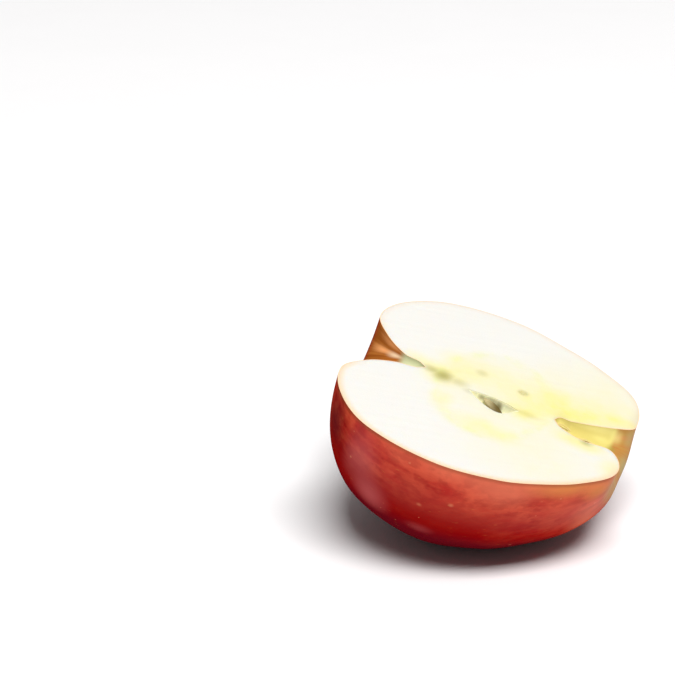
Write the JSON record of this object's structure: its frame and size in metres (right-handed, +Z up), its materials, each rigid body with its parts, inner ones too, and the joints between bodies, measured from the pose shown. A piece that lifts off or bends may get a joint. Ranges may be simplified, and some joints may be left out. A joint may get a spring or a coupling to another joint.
{
  "type": "cut apple half",
  "caption": "Half of a red apple cut from stem to calyx, lying on its skin with the pale flesh, core line and opened seed cell facing up.",
  "frame": {"origin": "middle of the half's own box, at the level of the surface that it lies on", "axes": "+Z up, away from the surface that the half lies on; the core lies over X with the stem end towards -X and the calyx end towards +X; +Y towards the cheek that is further from the viewer in the picture. The cut face slopes 16.6 degrees down towards +X and 3.4 degrees down towards -Y"},
  "size_m": [0.0742, 0.081, 0.0494],
  "materials": {
    "apple_flesh": "satin",
    "apple_skin": "satin",
    "apple_seed": "satin",
    "dry_sepal": "matte"
  },
  "bodies": {
    "root": {"apple_half": "apple_flesh", "seed": "apple_seed"}
  },
  "joints": []
}
